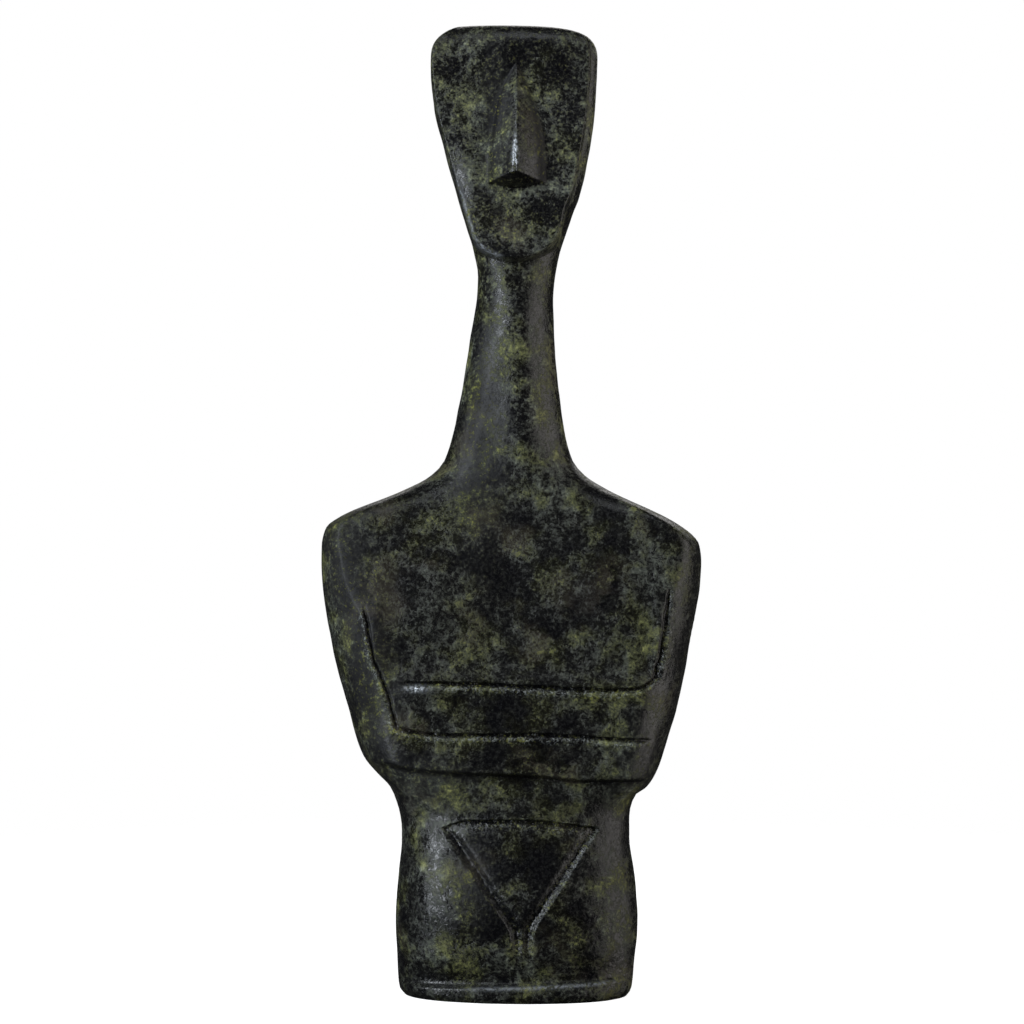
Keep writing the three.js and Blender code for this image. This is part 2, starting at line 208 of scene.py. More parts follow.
# The nose is a wedge that widens and rises towards an arched foot, which bows down over a hollow.
NOSE_BASE = 182.75
NOSE_TOP = 210.4
NOSE_CENTRE = 0.3
NOSE_HALF_WIDTH = 5.6
NOSE_RISE = 6.0
NOSE_FADE = 0.62
NOSE_STRIP = 0.17
NOSE_STRIP_FADE = (0.05, 0.5)
NOSE_TAPER_LEFT = 3.2
NOSE_TAPER_RIGHT = 2.3
NOSE_RIDGE_ROUND = 0.08
NOSE_FLARE_LEFT = (0.08, 0.1)  # how softly its sides run into the face: at the foot, and more above
NOSE_FLARE_RIGHT = (0.24, 0.4)
NOSE_ARCH = 2.05
NOSE_BOW = 1.1
ARCH_WIDTH = 1.08
ARCH_POWER = 1.55

# Lines on the front as (x, z). The left forearm lies above the right.
LEFT_FOREARM_TOP = [
    (-25.5, 71.3), (-17, 71.3), (-7.8, 71.1), (1.1, 70.7), (15.8, 69.9), (23.5, 69.8), (28.6, 70.5),
    (30.4, 72.4), (31.2, 75.1), (32.0, 78.9), (32.6, 82.9), (33.3, 87.3), (34.1, 93),
]
RIGHT_FOREARM_TOP = [
    (-33.9, 89), (-32.4, 83.1), (-31.3, 76.8), (-29.6, 72.6), (-28.1, 68.6), (-26.7, 62.9),
    (-25.8, 61.3), (-21.3, 60.4), (-14.9, 59.8), (3.5, 59.8), (13.8, 59.5), (20.9, 58.9), (31.1, 58.4),
]
FOREARM_UNDERSIDE = [(-29, 52.9), (-23, 51.8), (-12, 50.9), (4.4, 50.1), (15, 49.2), (29.5, 49.1)]
FOREARMS_UPPER_EDGE = [(-26, 71.3), (0, 70.8), (24, 69.8)]
FOREARMS_RISE = 1.3
FOREARMS_EDGE = 0.8
FOREARMS_FALL = 4.8
CHEST_FALL = (74, 104)

# How the tool shook along its lines, and how roughly it cut: wavelengths and depths of ripples.
TOOL_SHAKE = [(4.2, 0.08), (1.8, 0.04)]
TOOL_ROUGHNESS = [(1.7, 1)]

# Tooled lines: depth, width of the steep wall and of the gentle one, height of the burr if there is one.
LEFT_LINE = (0.8, 0.5, 1.1, 0.3)
RIGHT_LINE = (0.7, 0.5, 1.0, 0.25)
UNDERSIDE = (0.5, 0.4, 0.9)

# The left arm's line turns up beside the upper arm between these reaches, and narrows again above.
UPTURN_ACROSS = (26, 30)
UPTURN_UP = (70.5, 72.5)
UPTURN_NARROWS = (74, 92)

# The line round the inside of the triangle: its wall is steeper along the top than down the sides.
TRIANGLE_DEPTH = 1.05
TRIANGLE_WALL_TOP = 0.6
TRIANGLE_WALL_SIDES = 1.4
TRIANGLE_PILLOW = 1.9
TRIANGLE_CORNER = 1.0
TRIANGLE_TOP = [(-17.5, 39.3), (-10, 40.8), (0, 40.9), (9, 40.3), (19.5, 39.1)]
TRIANGLE_LEFT = (-17.3, 39.6)
TRIANGLE_RIGHT = (19.5, 39.2)
TRIANGLE_APEX = (1.4, 13.0)
STEM_CENTRE = 1.6
STEM_HALF_WIDTH = 2.5
STEM_FOOT = 9.0

# Soft forms on the front, as patches: centre x, centre z, spread in x, spread in z, rise.
SOFT_FORMS = [
    (-20.7, 88.6, 7, 7, 1.1),  # breasts
    (23.1, 89.5, 7, 7, 1.1),
    (-2.2, 99, 3, 9, -0.7),  # hollow of the breastbone
    (-18.0, 69.2, 4.5, 1.4, 0.8),  # left end of the upper forearm
]

# The blunt ridge down the front of the neck.
RIDGE_FOOT = (112, 130)
RIDGE_HEAD = (150, 164)
RIDGE_CENTRE = 1.0
RIDGE_SPREAD = 3.2
RIDGE_RISE = 1.0

# Where the front is painted darker or paler, as patches with a change of tone: mostly patina stains, and some
# painted highlights, painted reflections and painted shade, marked below.
STAINS_AND_PAINTED_LIGHT = [
    # brow and temples
    (9.5, 210.5, 5, 5, -0.10),
    (3.5, 209, 2.5, 3, -0.06),
    (0, 205, 14, 12, -0.02),
    (8.5, 204.5, 3, 3, -0.05),
    (-14, 198.5, 2.5, 5, -0.06),
    (9.5, 197.5, 3.2, 3.2, 0.075),
    (-8, 195, 2.2, 6, 0.05),
    (-3.5, 192, 2.6, 10, 0.02),
    (5, 190, 2.6, 6, 0.015),
    # cheeks and chin
    (6.5, 181.5, 6, 2.2, 0.11),
    (4, 181.5, 3.2, 2.2, 0.04),
    (5.5, 179.5, 6, 2.2, 0.04),
    (1.5, 179, 2.5, 1.8, 0.04),
    (-8, 177, 2.5, 3, -0.06),
    (6.5, 176.5, 2.2, 2.5, -0.08),
    (0, 174, 6, 2.2, -0.06),
    (-2, 173.5, 3, 2.2, -0.05),
    # neck
    (2, 158.5, 2.2, 6, 0.06),
    # painted shade: darker on the -X side of the neck, to tone down the key light there
    (-7.5, 134, 3.5, 11, -0.15),
    (8.5, 115, 2.2, 6, 0.04),
    (1, 112, 2.2, 6, -0.06),
    (11, 109.5, 3.5, 9, 0.05),
    (-17, 108.5, 9, 3.5, -0.05),
    # chest and upper arms
    (19, 96.5, 2.2, 4, -0.12),
    # painted sheen: the outer side of the breast on +X is painted paler where the fill light shines
    (31, 94, 3.5, 9, 0.09),
    (-31, 94, 3.2, 3.2, -0.05),
    (5.5, 93, 9, 3.5, -0.05),
    # painted reflection: the outer side of the arm on +X is paler where it mirrors the fill light
    (40.5, 91, 6, 14, 0.03),
    # painted shade: the arm on -X is painted darker, to tone down the key light on it
    (-32.5, 90, 4.5, 12, -0.09),
    (-19, 88.5, 5, 5, 0.055),
    (0, 84, 8, 8, -0.04),
    # forearms
    (20.5, 72, 6, 2.2, 0.045),
    (-2.5, 71, 6, 2.2, 0.05),
    (0, 66, 12, 4, -0.04),
    (-31, 64.5, 2.2, 6, -0.055),
    (-19, 62, 3.2, 3.2, 0.05),
    (3, 59, 2.2, 6, -0.045),
    (1, 54.5, 5, 3.2, -0.085),
    # waist and belly
    (-26, 46.5, 5, 5, 0.055),
    # painted highlight: paler on the +X side of the waist, where the fill light catches it
    (24, 45.5, 6, 2.2, 0.10),
    (25.5, 44.5, 9, 3.5, 0.05),
    (25.5, 44.5, 3.5, 9, 0.03),
    # painted highlight in the triangle's top corner on -X
    (-13.5, 38.5, 2.5, 0.9, 0.08),
    (-19, 38.5, 6, 3.5, 0.08),
    (23, 36, 4, 8, 0.05),
    (6.5, 34.5, 3.2, 3.2, -0.065),
    # painted highlight: paler on the -X side of the belly, to brighten the key light's highlight there
    (-17, 30, 6, 9, 0.05),
    (-19.5, 29, 4, 7, 0.05),
    (-8, 26, 3, 8, -0.03),
    # hips and base
    (7.5, 16.5, 3, 4, -0.05),
    # painted shade between the two painted highlights on the -X side of the belly
    (-17, 15.5, 4, 2, -0.05),
    (13, 14.5, 3.5, 9, -0.07),
    (-26, 13.5, 10, 12, 0.03),
    # painted highlight: the lower one on the -X side of the belly
    (-17.5, 11, 3.5, 2, 0.10),
    (-22.5, 10, 3.5, 9, 0.065),
    (-11.5, 9.5, 3, 3, -0.06),
    (-4.5, 8, 2.2, 6, 0.06),
    (3, 6.5, 6, 2.2, 0.10),
    (4, 1, 6, 2.2, -0.05),
    # painted shade in the tuck above the rim, and the rim paler
    (0, 5.6, 26, 1.3, -0.07),
    (0, 1.6, 26, 1.2, 0.04),
]

# Where a dull crust hides the polish, or is rubbed thin, as patches with a share.
CRUSTS = [
    (-4.5, 197, 2.2, 11, 0.5),  # left flank of the nose
    (-8.5, 128, 4, 18, 0.8),  # left of the neck
    (-41.5, 98, 5, 14, 0.8),  # right upper arm and elbow
    (-33.5, 70, 4.5, 14, 0.9),
    (-21, 49, 7, 4, 0.7),  # waist
    (27.5, 34, 4, 16, 0.8),  # hips and belly
    (-19.5, 31, 4.5, 9, -0.25),
    (-9.5, 26, 4, 8, 0.4),
    (-17.5, 11, 4, 2.5, -0.25),
]

# Edges rubbed to bright metal and painted pale as highlights: the nose's ridge between two heights, and the
# end of a forearm.
RUBBED_AND_HIGHLIT_RIDGE_FOOT = 186
RUBBED_AND_HIGHLIT_RIDGE_TOP = 194.5
RUBBED_AND_HIGHLIT_FOREARM = (-21.8, 70.1, 1.5, 0.45, 1)

# ---- curves ----


def through(stations, column, at):
    """A smooth curve through rising stations that never overshoots them (monotone cubic)."""
    table = np.asarray(stations, float)
    x, y = table[:, 0], table[:, column]
    step, slope = np.diff(x), np.diff(y) / np.diff(x)
    tangent = np.zeros_like(y)
    before, after = 2 * step[1:] + step[:-1], step[1:] + 2 * step[:-1]
    rising = slope[:-1] * slope[1:] > 0
    low, high = np.where(rising, slope[:-1], 1), np.where(rising, slope[1:], 1)
    tangent[1:-1] = np.where(rising, (before + after) / (before / low + after / high), 0)
    at = np.clip(at, x[0], x[-1])
    i = np.clip(np.searchsorted(x, at) - 1, 0, len(x) - 2)
    t = (at - x[i]) / step[i]
    rest = 1 - t
    return (
        (1 + 2 * t) * rest**2 * y[i]
        + t * rest**2 * step[i] * tangent[i]
        + t**2 * (3 - 2 * t) * y[i + 1]
        - t**2 * rest * step[i] * tangent[i + 1]
    )


def smooth(at, low, high):
    """0 below low, 1 above high, and a smooth step from one to the other."""
    t = np.clip((at - low) / (high - low), 0, 1)
    return t * t * (3 - 2 * t)


def bump(distance, width):
    """A soft swell, 1 in its middle."""
    return np.exp(-0.5 * (distance / width) ** 2)


def spread(patches, x, z):
    """The sum of soft patches over the front."""
    total = np.zeros_like(x)
    for centre_x, centre_z, spread_x, spread_z, amount in patches:
        total += amount * bump(x - centre_x, spread_x) * bump(z - centre_z, spread_z)
    return total


def planed(share, reach):
    """A section's depth once its front is planed flat: the arms slope back from the flat."""
    taller = share * reach
    return taller / (1 + taller**FLAT_CORNER) ** (1 / FLAT_CORNER)


def rounded_line(points, samples=6):
    """Points of a smooth curve through a few (Catmull-Rom)."""
    p = np.asarray(points, float)
    p = np.vstack([2 * p[0] - p[1], p, 2 * p[-1] - p[-2]])
    t = np.linspace(0, 1, samples, endpoint=False)[:, None]
    spans = [
        0.5 * (2 * b + (c - a) * t + (2 * a - 5 * b + 4 * c - d) * t**2 + (3 * b - a - 3 * c + d) * t**3)
        for a, b, c, d in zip(p, p[1:], p[2:], p[3:])
    ]
    return np.vstack([*spans, p[-2:-1]])


def beside(line, x, z):
    """Signed distance to a line, positive on its right hand, and the run along it to each end."""
    a, b = line[:-1], line[1:]
    along = b - a
    length = np.linalg.norm(along, axis=1)
    start = np.concatenate([[0], np.cumsum(length)[:-1]])
    best = np.full(x.shape, FAR)
    side, run = np.zeros_like(x), np.zeros_like(x)
    for (ax, az), (dx, dz), span, before in zip(a, along, length, start):
        px, pz = x - ax, z - az
        t = np.clip((px * dx + pz * dz) / span**2, 0, 1)
        distance = np.hypot(px - t * dx, pz - t * dz)
        nearer = distance < best
        best = np.where(nearer, distance, best)
        side = np.where(nearer, np.sign(px * dz - pz * dx), side)
        run = np.where(nearer, before + t * span, run)
    return best * side, np.minimum(run, length.sum() - run)


def ripple(place, wavelength, seed, waves=14):
    """Even noise between about -1 and 1: a few seeded waves that cross in all directions."""
    draw = np.random.default_rng(seed)
    heading = draw.normal(size=(waves, 3))
    heading /= np.linalg.norm(heading, axis=1)[:, None]
    pitch = 2 * np.pi / (wavelength * draw.uniform(0.7, 1.4, waves))
    phase = draw.uniform(0, 2 * np.pi, waves)
    total = np.zeros(len(place))
    for h, p, q in zip(heading, pitch, phase):
        total += np.sin(place @ h * p + q)
    return total / math.sqrt(waves)


def rippled(place, ripples, seed):
    """The sum of several ripples, each given by its wavelength and its depth."""
    return sum(depth * ripple(place, length, seed + i) for i, (length, depth) in enumerate(ripples))


LEFT_ARM_LINE = rounded_line(LEFT_FOREARM_TOP)
RIGHT_ARM_LINE = rounded_line(RIGHT_FOREARM_TOP)
FOREARMS_LOWER_LINE = rounded_line(FOREARM_UNDERSIDE)

# ---- carving ----


def cut(distance, steep, gentle):
    """A tooled groove, 1 at its floor: a steep wall on one side and a gentle one on the other."""
    return np.where(distance < 0, 1 - smooth(-distance, 0, steep), 1 - smooth(distance, 0, gentle))


def triangle_inset(x, z):
    """How far inside the incised triangle and its stem a place lies, and how far below its top."""

    def inside(start, end):
        (ax, az), (bx, bz) = start, end
        span = math.hypot(bx - ax, bz - az)
        return ((x - ax) * (bz - az) - (z - az) * (bx - ax)) / span

    left = -inside(TRIANGLE_LEFT, TRIANGLE_APEX)
    right = inside(TRIANGLE_RIGHT, TRIANGLE_APEX)
    top = through(TRIANGLE_TOP, 1, x) - z
    sides = np.minimum(left, right)
    softened = 0.5 * (sides + top - np.sqrt((sides - top) ** 2 + TRIANGLE_CORNER**2)) + 0.2
    stem = np.minimum(STEM_HALF_WIDTH - np.abs(x - STEM_CENTRE), TRIANGLE_APEX[1] + 14 - z)
    joined = 0.5 * (softened + stem + np.sqrt((softened - stem) ** 2 + 0.6))
    return np.where(z < TRIANGLE_APEX[1] + 13, joined, softened), top


def left_arm_line(x, z, shake, rough):
    """The line over the left forearm, which widens where it turns up beside the upper arm."""
    depth, steep, gentle, burr = LEFT_LINE
    d, run = beside(LEFT_ARM_LINE, x, z)
    upright = smooth(x, *UPTURN_ACROSS) * smooth(z, *UPTURN_UP)
    wide = gentle + upright * (1.1 - 0.75 * smooth(z, *UPTURN_NARROWS))
    floor = cut(d + shake - 0.3 * upright, steep, wide) * smooth(run, 0, 2.5)
    lip = bump(d - wide - 0.1, 0.55) * smooth(run, 0, 4)
    wall = bump(d - 0.6 * wide, 0.5 * wide) * smooth(run, 0, 3)
    sunk = (depth + 0.1 * rough) * floor - (burr + 0.12 * rough) * lip
    return sunk, floor, np.maximum(lip, wall)


def right_arm_line(x, z, shake, rough):
    """The line between the two forearms, from the right upper arm across the body."""
    depth, steep, gentle, burr = RIGHT_LINE
    d, run = beside(RIGHT_ARM_LINE, x, z)
    floor = cut(d + shake, steep, gentle) * smooth(run, 0, 3)
    lip = bump(d - 1.15, 0.5) * smooth(run, 0, 5)
    wall = bump(d - 0.7, 0.5) * smooth(run, 0, 3)
    sunk = (depth + 0.1 * rough) * floor - (burr + 0.1 * rough) * lip
    return sunk, floor, np.maximum(lip, wall)


def underside_line(x, z, shake, rough):
    """The shallow line below the forearms, fainter towards the left."""
    depth, steep, gentle = UNDERSIDE
    d, run = beside(FOREARMS_LOWER_LINE, x, z)
    crisp = 0.35 + 0.65 * smooth(x, -20, 5)
    share = cut(-d + shake, steep, gentle) * smooth(run, 0, 3) * crisp
    return depth * share, 0.8 * share, np.zeros_like(x)


def triangle_line(x, z, shake, rough):
    """The line round the inside of the triangle and down its stem, which leaves a pillow in the middle."""
    inset, top = triangle_inset(x, z)
    by_side = smooth(top, 0.8, 3.0)
    wall_end = TRIANGLE_WALL_TOP + (TRIANGLE_WALL_SIDES - TRIANGLE_WALL_TOP) * by_side
    wall = np.clip((inset + shake) / wall_end, 0, 1)
    wall = wall * (1.25 - 0.25 * wall * wall * wall)
    pillow = smooth(inset, wall_end, wall_end + TRIANGLE_PILLOW)
    fade = smooth(z, STEM_FOOT, STEM_FOOT + 5)
    floor = np.clip(wall * (1 - pillow), 0, 1) * fade
    band = smooth(inset, -0.3, 0.3) * (1 - smooth(inset, wall_end + 0.8, wall_end + 1.6)) * fade
    # painted shade: weaker down the left side, whose wall faces away from the key light, so its paler tone
    # and painted glints are fainter there
    band *= np.maximum(1 - smooth(top, 1.5, 3.0), 0.25 + 0.75 * smooth(x, -2, 3))
    return (TRIANGLE_DEPTH + 0.08 * rough) * floor, floor, band


def grooves(x, z):
    """Depth of the incised lines, how deep in one a place is, and how near a worked lip, from 0 to 1."""
    flat = np.stack([x, np.zeros_like(x), z], 1)
    shake = rippled(flat, TOOL_SHAKE, SEED + 2)
    rough = rippled(flat, TOOL_ROUGHNESS, SEED + 4)
    carved = (left_arm_line, right_arm_line, underside_line, triangle_line)
    depths, floors, lips = zip(*(line(x, z, shake, rough) for line in carved))
    return sum(depths), np.maximum.reduce(floors), np.maximum.reduce(lips)


def tuck(x, z):
    """How far the body draws in above the rim of the base."""
    above = z - RIM_HEIGHT - RIM_SLOPE * x
    return TUCK_DEPTH * smooth(above, 0, RIM_LEDGE) * (1 - smooth(above, RIM_LEDGE, TUCK_TOP))


def relief(x, z):
    """What stands proud of the plain section on the front."""
    lower = through(FOREARM_UNDERSIDE, 1, x)
    upper = through(FOREARMS_UPPER_EDGE, 1, x)
    rise = smooth(z, lower - FOREARMS_EDGE, lower + FOREARMS_EDGE)
    between_arms = smooth(x, -34 + 0.1 * (90 - z), -27) * (1 - smooth(x, 29, 35 - 0.1 * (90 - z)))
    fall = smooth(z, upper, upper + FOREARMS_FALL) * between_arms
    fall = np.maximum(fall, smooth(z, *CHEST_FALL))
    ridge = bump(x - RIDGE_CENTRE, RIDGE_SPREAD) * (smooth(z, *RIDGE_FOOT) - smooth(z, *RIDGE_HEAD))
    return FOREARMS_RISE * (rise - fall) + RIDGE_RISE * ridge + spread(SOFT_FORMS, x, z)


def face_plane(z):
    """Depth of the face, which leans back from the chin to the crown."""
    rise = (z - CHIN_HEIGHT) / (CROWN_START - CHIN_HEIGHT)
    return FACE_CHIN_DEPTH + (FACE_CROWN_DEPTH - FACE_CHIN_DEPTH) * rise


def face_inset(x, z):
    """Distance inside the edge of the shield-shaped face."""
    wide = np.maximum(z, JAW_HEIGHT)
    temple = smooth(z, JAW_HEIGHT, JAW_HEIGHT + 6)
    right = through(OUTLINE, 2, wide) - FACE_INSET_RIGHT - (TEMPLE_INSET_RIGHT - FACE_INSET_RIGHT) * temple
    left = through(OUTLINE, 1, wide) - FACE_INSET_LEFT
    across = np.abs(x) / np.where(x < 0, left, right)
    below = np.clip((JAW_HEIGHT - z) / (JAW_HEIGHT - CHIN_HEIGHT), 0, 2)
    out = (across**JAW_POWER + below**JAW_POWER) ** (1 / JAW_POWER)
    return (1 - out) * np.where(x < 0, left, right)


def nose(x, z):
    """How far the nose stands out of the face, where shade is painted under its foot, and where its crease
    is.
    """
    part = np.clip((z - NOSE_BASE) / (NOSE_TOP - NOSE_BASE), 0, 1)
    taper = np.where(x < NOSE_CENTRE, NOSE_TAPER_LEFT, NOSE_TAPER_RIGHT)
    half = NOSE_HALF_WIDTH * (1 - part**taper) + 1e-6
    share = np.abs(x - NOSE_CENTRE) / half

    # a narrow facet left of the ridge, then sides that run softly into the face
    strip = NOSE_STRIP * (1 - smooth(part, *NOSE_STRIP_FADE)) * (x < NOSE_CENTRE)
    fallen = np.maximum(0.4 * share, share - 0.6 * strip) * (strip > 0) + share * (strip <= 0)
    slope = 1 - (np.sqrt(fallen**2 + NOSE_RIDGE_ROUND**2) - NOSE_RIDGE_ROUND)
    left, right = (at_foot + more * part for at_foot, more in (NOSE_FLARE_LEFT, NOSE_FLARE_RIGHT))
    flare = np.where(x < NOSE_CENTRE, left, right)
    flared = 0.5 * (slope + np.sqrt(slope**2 + flare**2)) - 0.5 * flare * smooth(share, 0.5, 1.9)
    wedge = NOSE_RISE * (1 - part) ** NOSE_FADE * np.clip(flared, 0, None)

    # the foot is cut back to an arch, and shade is painted on its cut-back underside
    above = z - NOSE_BASE + NOSE_BOW * np.clip(1 - share**2, 0, 1)
    arch = (NOSE_ARCH + NOSE_BOW) * np.clip(1 - (share / ARCH_WIDTH) ** ARCH_POWER, 0.02, 1)
    shade_under_nose = smooth(arch - above, -0.15, 0.25) * smooth(above, -0.3, 0.05) * (share < ARCH_WIDTH)
    # the crease is painted a little darker as shade, and made dull
    crease = 0.8 * bump(share - 1, 0.12) * (part > 0)
    return wedge * np.clip(above / arch, 0, 1) ** 0.75, shade_under_nose, crease


def worn(x, z, inset):
    """Where handling has rubbed the patina back to bright metal, and where pale highlights are painted, from
    0 to 1.
    """
    taper = smooth(z, RUBBED_AND_HIGHLIT_RIDGE_FOOT + 1, RUBBED_AND_HIGHLIT_RIDGE_TOP - 0.5)
    ridge = bump(x - NOSE_CENTRE + 0.35 - 0.15 * taper, 0.42 - 0.24 * taper)
    ridge = ridge * smooth(z, RUBBED_AND_HIGHLIT_RIDGE_FOOT, RUBBED_AND_HIGHLIT_RIDGE_FOOT + 0.8)
    ridge = ridge * (1 - smooth(z, RUBBED_AND_HIGHLIT_RIDGE_TOP - 4, RUBBED_AND_HIGHLIT_RIDGE_TOP))
    # painted highlight along the jaw's rim
    jaw = bump(inset - 0.7, 0.35) * smooth(-x, 2, 4.5) * (1 - smooth(z, 174, 190)) * (inset > 0)
    forearm = spread([RUBBED_AND_HIGHLIT_FOREARM], x, z)
    # painted highlight along the top edge of the base's rim
    rim = bump(z - RIM_HEIGHT - RIM_SLOPE * x - 0.1, 0.25) * smooth(x, -14, -6) * (1 - smooth(x, 20, 25))
    return np.clip(1.3 * ridge + 0.65 * jaw + forearm + 0.4 * rim, 0, 1)


# ---- the whole surface ----


def level_of(rise):
    """Height of a row of places, and how far it has gone over the crown, as an angle and as a height."""
    over = np.clip((rise - CROWN_START) / (HEIGHT - CROWN_START), 0, 1) * np.pi / 2
    dome = np.sin(over) ** (2 / CROWN_SIDE_POWER)
    z = np.where(rise > CROWN_START, CROWN_START + (HEIGHT - CROWN_START) * dome, np.clip(rise, 0, None))
    return z, over, dome


def section(turn, z):
    """Where a turn meets a level section: x, the share of the full depth, and whether it is in front."""
    power = through(SQUARENESS, 1, z)
    across, along = np.cos(turn), COLUMNS_TO_THE_FRONT * np.sin(turn)
    reach = (np.abs(across) ** power + np.abs(along) ** power) ** (1 / power)
    x = across / reach * np.where(across < 0, through(OUTLINE, 1, z), through(OUTLINE, 2, z))
    share = np.abs(along) / reach
    share += through(FLATNESS, 1, z) * (planed(share, through(FLATNESS, 2, z)) - share)
    return x, share, along < 0


def face(x, z, inset, core):
    """How far the face stands out of the head, with its edge rounded and its left cheek falling away."""
    edge_round = JAW_EDGE_ROUND + (FACE_EDGE_ROUND - JAW_EDGE_ROUND) * smooth(z, JAW_HEIGHT, JAW_HEIGHT + 12)
    rounding = 1 - np.clip(inset / edge_round, 0, 1)
    lift = (1 - rounding**FACE_EDGE_POWER) ** (1 / FACE_EDGE_POWER)
    height = np.maximum(face_plane(z) - core, 0) * lift * smooth(z, CHIN_HEIGHT - 0.5, CHIN_HEIGHT)
    cheek = bump(z - CHEEK_HEIGHT, CHEEK_SPREAD) * (1 - smooth(inset, 0, CHEEK_REACH)) * (inset > 0) * (x < 0)
    return np.maximum(height - CHEEK_FALL * cheek, 0)


def roughened(place, left, front):
    """Places moved in and out a little, as a cast skin is."""
    x, y, _ = place.T
    outward = np.stack([x / left**2, y / front**2, np.zeros_like(x)], 1)
    outward /= np.linalg.norm(outward, axis=1)[:, None] + 1e-9
    return place + outward * (rippled(place, SKIN_RIPPLES, SEED) - WORN_DOWN)[:, None]


def closed(place, rise, over, dome, middle):
    """Places drawn together over the crown, and across the sole to its centre."""
    x, y, z = place.T
    side = np.cos(over) ** (2 / CROWN_SIDE_POWER)
    thick = np.clip(1 - dome**CROWN_DEPTH_POWER, 0, 1) ** (1 / CROWN_DEPTH_POWER)
    thick = np.where(rise > CROWN_START, thick, 1)
    inward = np.where(rise < 0, 1 + rise / SOLE, 1)
    shift = CROWN_SHIFT * np.where(over > 0, dome, 0) ** CROWN_SHIFT_POWER
    return np.stack([x * side * inward + shift, middle + (y - middle) * thick * inward, z], 1)


def surface(turn, rise):
    """Places on the skin and their marks, for a turn from +X and a rise from the sole's centre."""
    z, over, dome = level_of(rise)
    x, share, ahead = section(turn, z)
    front, back = through(DEPTH, 1, z), through(DEPTH, 2, z)
    worked = np.where(ahead, smooth(share, 0.3, 0.8), 0)

    depth, floor, lip = grooves(x, z)
    drawn_in = tuck(x, z)
    core = share * (front - drawn_in) + worked * (relief(x, z) - depth)
    inset = face_inset(x, z)
    proud, shade_under_nose, crease = nose(x, z)
    ahead_by = core + face(x, z, inset, core) + np.where(inset > 0, proud, 0)
    y = np.where(ahead, -ahead_by, share * (back - drawn_in))
    y -= HIP_SKEW * (1 - smooth(z, 0, HIP_SKEW_TOP)) * x

    place = roughened(np.stack([x, y, z], 1), through(OUTLINE, 1, z), front)
    place = closed(place, rise, over, dome, (back - front) / 2)
    marks = {
        # painted shade: the underside of the nose's foot, and faintly its crease, are darkened along with the
        # groove floors
        "hollow": np.maximum(floor, np.maximum(shade_under_nose, 0.35 * crease)),
        "lip": lip,
        # rubbed metal, with painted highlights
        "worn": worn(x, z, inset),
        "crust": spread(CRUSTS, x, z) + crease,
        # stain patches, some of them painted highlights, painted reflections and painted shade
        "stain": spread(STAINS_AND_PAINTED_LIGHT, x, z),
    }
    return place, {name: mask * worked for name, mask in marks.items()}


def longest_edge(place):
    """How long an edge may be at a place: short by the carving, longer on plain skin."""
    x, y, z = place.T
    lines = (LEFT_ARM_LINE, RIGHT_ARM_LINE, FOREARMS_LOWER_LINE)
    gaps = [np.abs(beside(line, x, z)[0]) - 0.9 for line in lines]
    inset, _ = triangle_inset(x, z)
    gaps.append(np.where(z > STEM_FOOT - 2, np.abs(inset - 0.9) - 1.4, FAR))
    gaps.append(np.where(z > CHIN_HEIGHT - 4, np.abs(face_inset(x, z) - 0.6) - 0.8, FAR))

    part = np.clip((z - NOSE_BASE) / (NOSE_TOP - NOSE_BASE), 0, 1)
    half = NOSE_HALF_WIDTH * (1 - part**NOSE_TAPER_LEFT)
    off = np.abs(x - NOSE_CENTRE)
    past = np.maximum(z - NOSE_TOP, 0) + np.maximum(NOSE_BASE - z, 0)
    gaps.append(np.minimum(off, np.abs(off - half)) + past - 0.4)
    gaps.append(np.where(off < half + 1, np.abs(z - NOSE_BASE - 0.45) - 1.4, FAR))

    near = np.where(y < 0, np.maximum(np.minimum.reduce(gaps), 0), FAR)
    rim = np.abs(z - RIM_HEIGHT - RIM_SLOPE * x - 0.5 * RIM_LEDGE)
    near = np.minimum(near, np.maximum(rim - 0.6, 0) + 0.3)
    return np.clip(FINE_EDGE + 0.5 * near, FINE_EDGE, PLAIN_EDGE)


